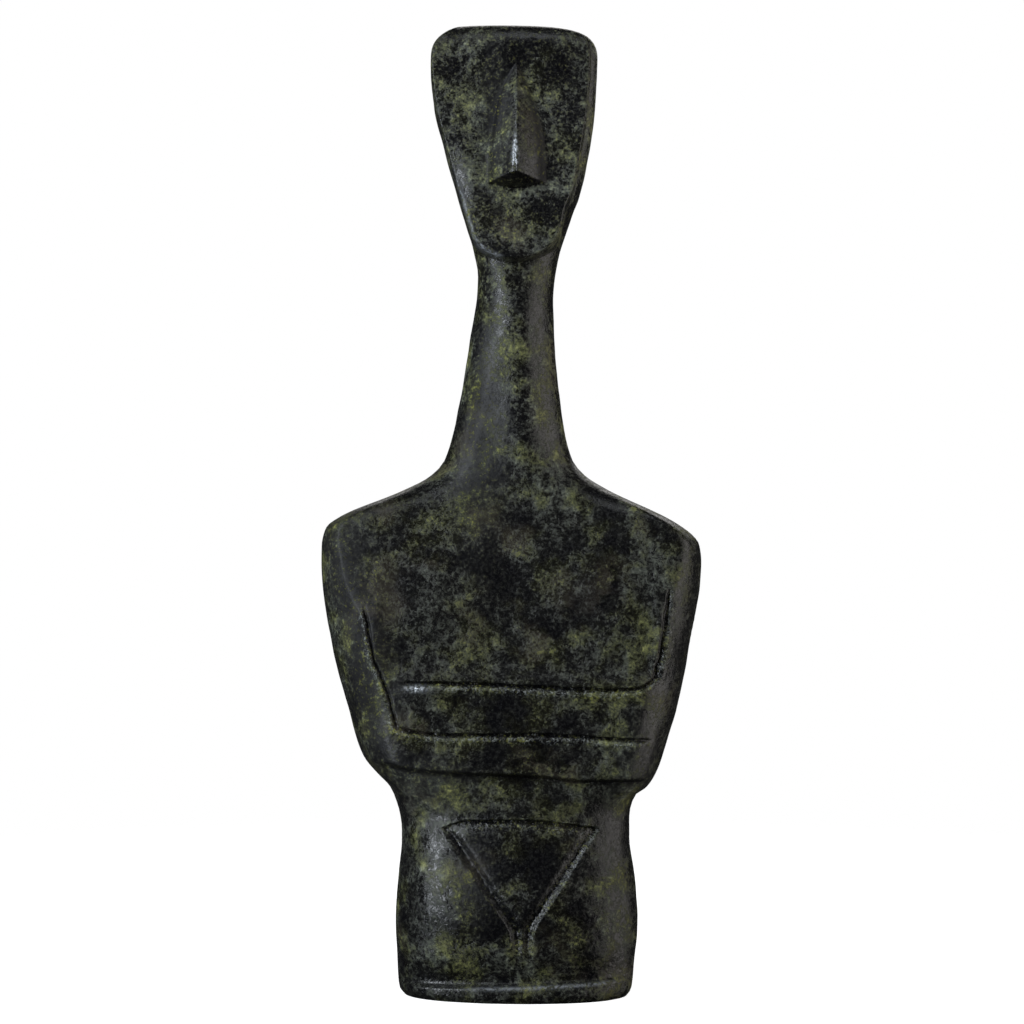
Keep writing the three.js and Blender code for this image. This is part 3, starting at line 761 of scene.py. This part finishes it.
def halve_long_edges(where, faces):
    """One round of splitting: each long edge gets a middle point, and its triangles follow it."""
    place, _ = surface(np.arctan2(where[:, 1], where[:, 0]), where[:, 2])
    sides = np.sort(np.concatenate([faces[:, [0, 1]], faces[:, [1, 2]], faces[:, [2, 0]]]), axis=1)
    edges, of_side = np.unique(sides, axis=0, return_inverse=True)
    of_side = of_side.reshape(3, -1).T
    a, b = place[edges[:, 0]], place[edges[:, 1]]
    long = np.linalg.norm(a - b, axis=1) > longest_edge((a + b) / 2)
    middle = np.full(len(edges), -1)
    middle[long] = len(where) + np.arange(long.sum())
    fresh = (where[edges[long, 0]] + where[edges[long, 1]]) / 2
    fresh[:, :2] /= np.linalg.norm(fresh[:, :2], axis=1)[:, None]
    where = np.vstack([where, fresh])

    mid = middle[of_side]
    count = (mid >= 0).sum(1)
    made = [faces[count == 0]]
    for turn in range(3):
        f, m = np.roll(faces, -turn, axis=1), np.roll(mid, -turn, axis=1)
        one = (count == 1) & (m[:, 0] >= 0)  # one long side makes two triangles
        v, n = f[one], m[one]
        made += [np.c_[v[:, 0], n[:, 0], v[:, 2]], np.c_[n[:, 0], v[:, 1], v[:, 2]]]
        two = (count == 2) & (m[:, 2] < 0)  # two make three
        v, n = f[two], m[two]
        made += [np.c_[n[:, 0], v[:, 1], n[:, 1]], np.c_[v[:, 0], n[:, 0], n[:, 1]]]
        made += [np.c_[v[:, 0], n[:, 1], v[:, 2]]]
    v, n = faces[count == 3], mid[count == 3]  # and three make four
    made += [np.c_[v[:, 0], n[:, 0], n[:, 2]], np.c_[n[:, 0], v[:, 1], n[:, 1]]]
    made += [np.c_[n[:, 2], n[:, 1], v[:, 2]], np.c_[n[:, 0], n[:, 1], n[:, 2]]]
    return where, np.concatenate(made), long.any()


def figure_mesh():
    """A grid of turns and rises, split where the carving is, and the places and marks it leads to."""
    columns = FIRST_COLUMNS
    turn = np.linspace(0, 2 * np.pi, columns, endpoint=False)
    sole = np.linspace(-SOLE, 0, SOLE_ROWS, endpoint=False)
    rise = np.concatenate([sole, np.linspace(0, HEIGHT, FIRST_ROWS)])
    grid = np.array([(math.cos(t), math.sin(t), r) for r in rise for t in turn])
    faces = []
    for row in range(len(rise) - 1):
        for column in range(columns):
            a, b = row * columns + column, row * columns + (column + 1) % columns
            c, d = b + columns, a + columns
            faces += [(a, b, c), (a, c, d)] if (row + column) % 2 else [(a, b, d), (b, c, d)]
    faces = np.array(faces)
    for _ in range(ROUNDS_OF_SPLITTING):
        grid, faces, more = halve_long_edges(grid, faces)
        if not more:
            break
    place, marks = surface(np.arctan2(grid[:, 1], grid[:, 0]), grid[:, 2])
    return place, faces, marks


def figurine(bronze):
    """The whole casting, as one closed mesh."""
    place, faces, marks = figure_mesh()
    mesh = bpy.data.meshes.new("figurine_skin")
    mesh.from_pydata((place * GRADUATION).tolist(), [], faces.tolist())
    for name, mask in marks.items():
        layer = mesh.attributes.new(name, "FLOAT", "POINT")
        layer.data.foreach_set("value", mask.astype(np.float32))
    piece = bpy.data.objects.new("figurine_skin", mesh)
    bpy.context.collection.objects.link(piece)

    shaped = bmesh.new()
    shaped.from_mesh(mesh)
    bmesh.ops.remove_doubles(shaped, verts=shaped.verts, dist=GRADUATION * 1e-3)
    bmesh.ops.dissolve_degenerate(shaped, edges=shaped.edges, dist=GRADUATION * 1e-4)
    for facet in shaped.faces:
        facet.smooth = True
    bmesh.ops.recalc_face_normals(shaped, faces=shaped.faces)
    shaped.to_mesh(mesh)
    shaped.free()
    mesh.set_sharp_from_angle(angle=SHARP_ANGLE)
    mesh.materials.append(bronze)
    return piece


# ---- shader maths ----


class Value:
    """What varies over a surface: a place, a colour or a number. Sums on a number add Math nodes."""

    def __init__(self, paint, socket):
        self.paint, self.socket = paint, socket

    def _maths(self, operation, *numbers, clamp=False):
        settings = {"operation": operation, "use_clamp": clamp}
        return self.paint.node("ShaderNodeMath", settings, dict(enumerate(numbers)))

    def __add__(self, other):
        return self._maths("ADD", self, other)

    def __sub__(self, other):
        return self._maths("SUBTRACT", self, other)

    def __rsub__(self, other):
        return self._maths("SUBTRACT", other, self)

    def __mul__(self, other):
        return self._maths("MULTIPLY", self, other)

    __radd__, __rmul__ = __add__, __mul__

    def size(self):
        """Its size whatever its sign."""
        return self._maths("ABSOLUTE", self)

    def held(self):
        """Held between 0 and 1."""
        return self._maths("ADD", self, 0.0, clamp=True)

    def between(self, low, high):
        """0 below low, 1 above high, and a smooth step from one to the other."""
        settings = {"interpolation_type": "SMOOTHSTEP"}
        return self.paint.node("ShaderNodeMapRange", settings, {"Value": self, 1: low, 2: high})


class Paint:
    """A material, or a room's light, being mixed. Every node in it is added by one method."""

    def __init__(self, mixed):
        mixed.use_nodes = True
        self.mixed, self.tree = mixed, mixed.node_tree
        self.tree.nodes.clear()

    def node(self, kind, settings=None, inputs=None, output=0):
        """Adds a node, sets it, then feeds its sockets with numbers, colours or other values."""
        made = self.tree.nodes.new(kind)
        for setting, value in (settings or {}).items():
            if setting == "stops":
                ramp = made.color_ramp
                while len(ramp.elements) < len(value):
                    ramp.elements.new(1)
                for element, (position, shade) in zip(ramp.elements, value):
                    element.position, element.color = position, shade
            else:
                setattr(made, setting, value)
        for name, value in (inputs or {}).items():
            if isinstance(value, Value):
                self.tree.links.new(value.socket, made.inputs[name])
            else:
                made.inputs[name].default_value = value
        return Value(self, made.outputs[output]) if made.outputs else None

    def mark(self, name):
        """A mask that the mesh carries."""
        return self.node("ShaderNodeAttribute", {"attribute_name": name}, output="Fac")

    def noise(self, place, size, detail=3, roughness=0.5, distortion=0.0):
        """Noise about 0.5 whose features are about a size across, in graduations."""
        inputs = {
            "Vector": place,
            "Scale": 1 / (size * GRADUATION),
            "Detail": detail,
            "Roughness": roughness,
            "Distortion": distortion,
        }
        return self.node("ShaderNodeTexNoise", {}, inputs)

    def shifted(self, place, by, amount):
        """Places pushed about by a noise's colour, so that patterns lose their straightness."""
        settings = {"operation": "MULTIPLY_ADD"}
        push = (amount * GRADUATION,) * 3
        return self.node("ShaderNodeVectorMath", settings, {0: by, 1: push, 2: place})

    def ramp(self, tone, stops):
        """The colour of a tone, from a list of tones and their colours."""
        return self.node("ShaderNodeValToRGB", {"stops": stops}, {"Fac": tone})

    def mix(self, mask, first, second):
        """The first colour where a mask is 0 and the second where it is 1."""
        settings = {"data_type": "RGBA"}
        return self.node("ShaderNodeMix", settings, {0: mask, 6: first, 7: second}, output=2)


def colour(red, green, blue):
    return (red, green, blue, 1.0)


# ---- materials ----

# Tones of the patina from the blackest to the palest, where it has yellowed and where it has greyed.
YELLOWED = [
    (0.30, colour(0.0040, 0.0036, 0.0028)),
    (0.43, colour(0.0145, 0.0145, 0.0085)),
    (0.50, colour(0.0380, 0.0405, 0.0185)),
    (0.57, colour(0.0880, 0.0940, 0.0380)),
    (0.65, colour(0.1850, 0.1930, 0.0720)),
    (0.75, colour(0.3500, 0.3600, 0.1500)),
]
GREYED = [
    (0.30, colour(0.0035, 0.0034, 0.0044)),
    (0.43, colour(0.0120, 0.0120, 0.0112)),
    (0.50, colour(0.0350, 0.0365, 0.0300)),
    (0.57, colour(0.0800, 0.0880, 0.0700)),
    (0.65, colour(0.1700, 0.1850, 0.1400)),
    (0.75, colour(0.3300, 0.3500, 0.2900)),
]
YELLOW_DUST = colour(0.38, 0.38, 0.05)
# pale flecks painted on as glints
PAINTED_GLINTS = colour(0.42, 0.45, 0.44)
# pale bright metal, also painted on as highlights
RUBBED_METAL_AND_HIGHLIGHT = colour(0.62, 0.66, 0.70)
UMBER = colour(0.060, 0.050, 0.040)


def patinated_bronze():
    """Cast bronze under a stippled green-black patina, waxed."""
    paint = Paint(bpy.data.materials.new("patinated_bronze"))
    place = paint.node("ShaderNodeTexCoord", output="Object")
    warp_scale = 1 / (3 * GRADUATION)
    warp = paint.node("ShaderNodeTexNoise", {}, {"Vector": place, "Scale": warp_scale}, output="Color")
    strands = paint.shifted(place, warp, 1.6)

    # what the mesh carries, and how high up the figure a place is
    hollow, lip, stain = paint.mark("hollow"), paint.mark("lip"), paint.mark("stain")
    rubbed_and_highlight, crust = paint.mark("worn"), paint.mark("crust")
    height = paint.node("ShaderNodeSeparateXYZ", {}, {0: place}, output="Z")
    neck_up = height.between(105 * GRADUATION, 135 * GRADUATION)
    head = height.between(150 * GRADUATION, 168 * GRADUATION)
    foot_end = 1 - height.between(12 * GRADUATION, 45 * GRADUATION)

    # the patina's patterns, from the widest to the finest
    clouds = paint.noise(place, 24, detail=2, roughness=0.5)
    patches = paint.noise(strands, 8, detail=3, roughness=0.55)
    blots = paint.noise(paint.shifted(strands, warp, 5), 11, detail=7, roughness=0.66)
    flecks = paint.noise(strands, 1.7, detail=5, roughness=0.75, distortion=0.4)
    scratches = paint.noise(paint.shifted(place, warp, 4), 1.1, detail=4, roughness=0.75, distortion=1.6)
    stipple = paint.noise(place, 0.7, detail=3, roughness=0.7, distortion=0.3)
    blot = blots.between(0.51, 0.57)
    glint = (stipple * 0.6 + flecks * 0.4).between(0.54, 0.62)
    thread_lines = paint.noise(paint.shifted(strands, warp, 2), 2.6, detail=3, roughness=0.6)
    threads = (1 - (thread_lines - 0.5).size() * 42).held() * (patches - 0.42).between(0.0, 0.14)

    # how pale the patina is: dark blots and hollows, painted shade under the nose's foot and along its
    # crease, pale lips and threads, and stain patches, some of them painted light
    mottle = clouds * 0.5 + patches * 0.85 + flecks + stipple * 0.65 + scratches * 0.6
    contrast = 0.52 + 0.2 * neck_up - 0.02 * head + 0.22 * foot_end
    tone = 0.462 + (mottle - 1.8) * contrast + neck_up * 0.015 + head * 0.012 - blot * 0.07 + lip * 0.09
    tone = tone - hollow * (1 - glint * 0.6) * 0.2 + threads * 0.07 + stain

    # its colour: grey, yellow or brown by place, with yellow dust caught in it and pale glints painted along
    # the lips
    yellowed = paint.noise(place, 8, detail=4, roughness=0.6).between(0.45, 0.6)
    browned = paint.noise(place, 16, detail=3).between(0.54, 0.68)
    base = paint.mix(yellowed * (1 - head * 0.25), paint.ramp(tone, GREYED), paint.ramp(tone, YELLOWED))
    base = paint.mix(browned * 0.45 * (1 - blot), base, UMBER)
    on_lips = lip * (0.22 + 1.6 * (patches - 0.46).held())
    dust = (on_lips + (patches * 1.5 - 0.82).held() + head * 0.12 + crust * 0.25).held()
    base = paint.mix(glint * dust, base, YELLOW_DUST)
    # painted highlights: pale glints on the lips, away from the hollows
    base = paint.mix(lip * (1 - hollow) * scratches.between(0.54, 0.64) * 0.75, base, PAINTED_GLINTS)

    # metal rubbed bright where the mark is strongest, all but its pits; where it is weaker, as along the jaw
    # and the base's rim, the pale colour is a painted highlight
    bare_and_highlight = rubbed_and_highlight * (1 - stipple.between(0.44, 0.58))
    base = paint.mix(bare_and_highlight, base, RUBBED_METAL_AND_HIGHLIGHT)

    # the wax shines on dark patina and is dull on pale patina and crust
    stained = tone.between(0.44, 0.60)
    roughness = 0.2 + 0.3 * stained + 0.2 * stipple.between(0.46, 0.58) + 0.6 * crust - 0.06 * lip
    roughness = (roughness - 0.25 * bare_and_highlight).held()

    # pits of the cast skin, flecks and shallow dents
    pits = paint.noise(place, 0.9, detail=2, roughness=0.6)
    dents = paint.noise(place, 3.2, detail=3, roughness=0.5)
    skin = pits * (0.35 + 0.25 * stained + 1.1 * lip) + flecks * 0.35 + dents * 0.8
    bumps = paint.node("ShaderNodeBump", {}, {"Strength": 0.7, "Distance": 0.4 * GRADUATION, "Height": skin})
    metal = paint.node(
        "ShaderNodeBsdfPrincipled",
        {},
        {
            "Base Color": base,
            "Metallic": (bare_and_highlight * 4 - 3.2).held(),
            "Roughness": roughness,
            "Normal": bumps,
            "IOR": 1.45,
            "Coat Weight": 0.06,
            "Coat Roughness": 0.25,
        },
    )
    paint.node("ShaderNodeOutputMaterial", {}, {"Surface": metal})
    return paint.mixed


def pale_paper():
    """Bright paper that fades away from the middle, so that it ends nowhere."""
    paint = Paint(bpy.data.materials.new("pale_paper"))
    place = paint.node("ShaderNodeTexCoord", output="Object")
    scaled = paint.node("ShaderNodeVectorMath", {"operation": "SCALE"}, {0: place, "Scale": 1 / PAPER_RADIUS})
    from_middle = {"gradient_type": "SPHERICAL"}
    faded = paint.node("ShaderNodeTexGradient", from_middle, {"Vector": scaled}, output="Fac")
    paper = paint.node(
        "ShaderNodeBsdfPrincipled",
        {},
        {
            "Base Color": colour(0.8, 0.8, 0.79),
            "Roughness": 0.9,
            "Emission Color": colour(1, 1, 1),
            "Emission Strength": 0.9,
            "Alpha": faded.between(0.0, 0.6),
        },
    )
    paint.node("ShaderNodeOutputMaterial", {}, {"Surface": paper})
    return paint.mixed


# ---- studio ----


def floor_sheet():
    """A round sheet under the figure. It is seen, but it throws no light back."""
    sides = 96
    turns = np.linspace(0, 2 * np.pi, sides, endpoint=False)
    rim = [(PAPER_RADIUS * math.cos(t), PAPER_RADIUS * math.sin(t), 0) for t in turns]
    mesh = bpy.data.meshes.new("floor")
    mesh.from_pydata(rim, [], [tuple(range(sides))])
    mesh.materials.append(pale_paper())
    sheet = bpy.data.objects.new("floor", mesh)
    sheet.location.z = foot.z
    sheet.visible_diffuse = sheet.visible_glossy = False
    bpy.context.collection.objects.link(sheet)
    return sheet


def aim(thing, target):
    """Turns a light to face a place."""
    thing.rotation_euler = (Vector(target) - thing.location).to_track_quat("-Z", "Y").to_euler()


def softbox(name, where, size, tint, watts):
    """A soft light at a place given in figure heights, aimed at the figure's middle."""
    lamp = bpy.data.lights.new(name, "AREA")
    lamp.shape = "RECTANGLE"
    lamp.size, lamp.size_y = (side * HEIGHT * GRADUATION for side in size)
    lamp.color = tint
    lamp.energy = watts
    box = bpy.data.objects.new(name, lamp)
    box.location = Vector(where) * HEIGHT * GRADUATION
    aim(box, (0, 0, foot.z + 0.5 * HEIGHT * GRADUATION))
    bpy.context.collection.objects.link(box)


def room():
    """A dim grey room that the eye sees as white."""
    paint = Paint(bpy.data.worlds.new("room"))
    dim = paint.node("ShaderNodeBackground", {}, {"Color": colour(0.75, 0.78, 0.8), "Strength": 0.03})
    pale = paint.node("ShaderNodeBackground", {}, {"Color": colour(1, 1, 1), "Strength": 1})
    seen = paint.node("ShaderNodeLightPath", output="Is Camera Ray")
    either = paint.node("ShaderNodeMixShader", {}, {0: seen, 1: dim, 2: pale})
    paint.node("ShaderNodeOutputWorld", {}, {"Surface": either})
    bpy.context.scene.world = paint.mixed


def camera():
    """Level with the figure's middle and straight before it."""
    lens = bpy.data.cameras.new("camera")
    lens.sensor_width = SENSOR_WIDTH
    lens.lens = SENSOR_WIDTH / 2 * EYE_DISTANCE / HALF_VIEW
    eye = bpy.data.objects.new("camera", lens)
    eye.location = Vector((EYE_SIDE, -EYE_DISTANCE, EYE_HEIGHT)) * GRADUATION
    eye.rotation_euler = (math.pi / 2, 0, 0)
    bpy.context.collection.objects.link(eye)
    bpy.context.scene.camera = eye


skin = figurine(patinated_bronze())
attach(skin, "root")
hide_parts("figurine")
floor_sheet()

room()
for light in SOFTBOXES:
    softbox(*light)
camera()
bpy.context.scene.view_settings.view_transform = "Standard"
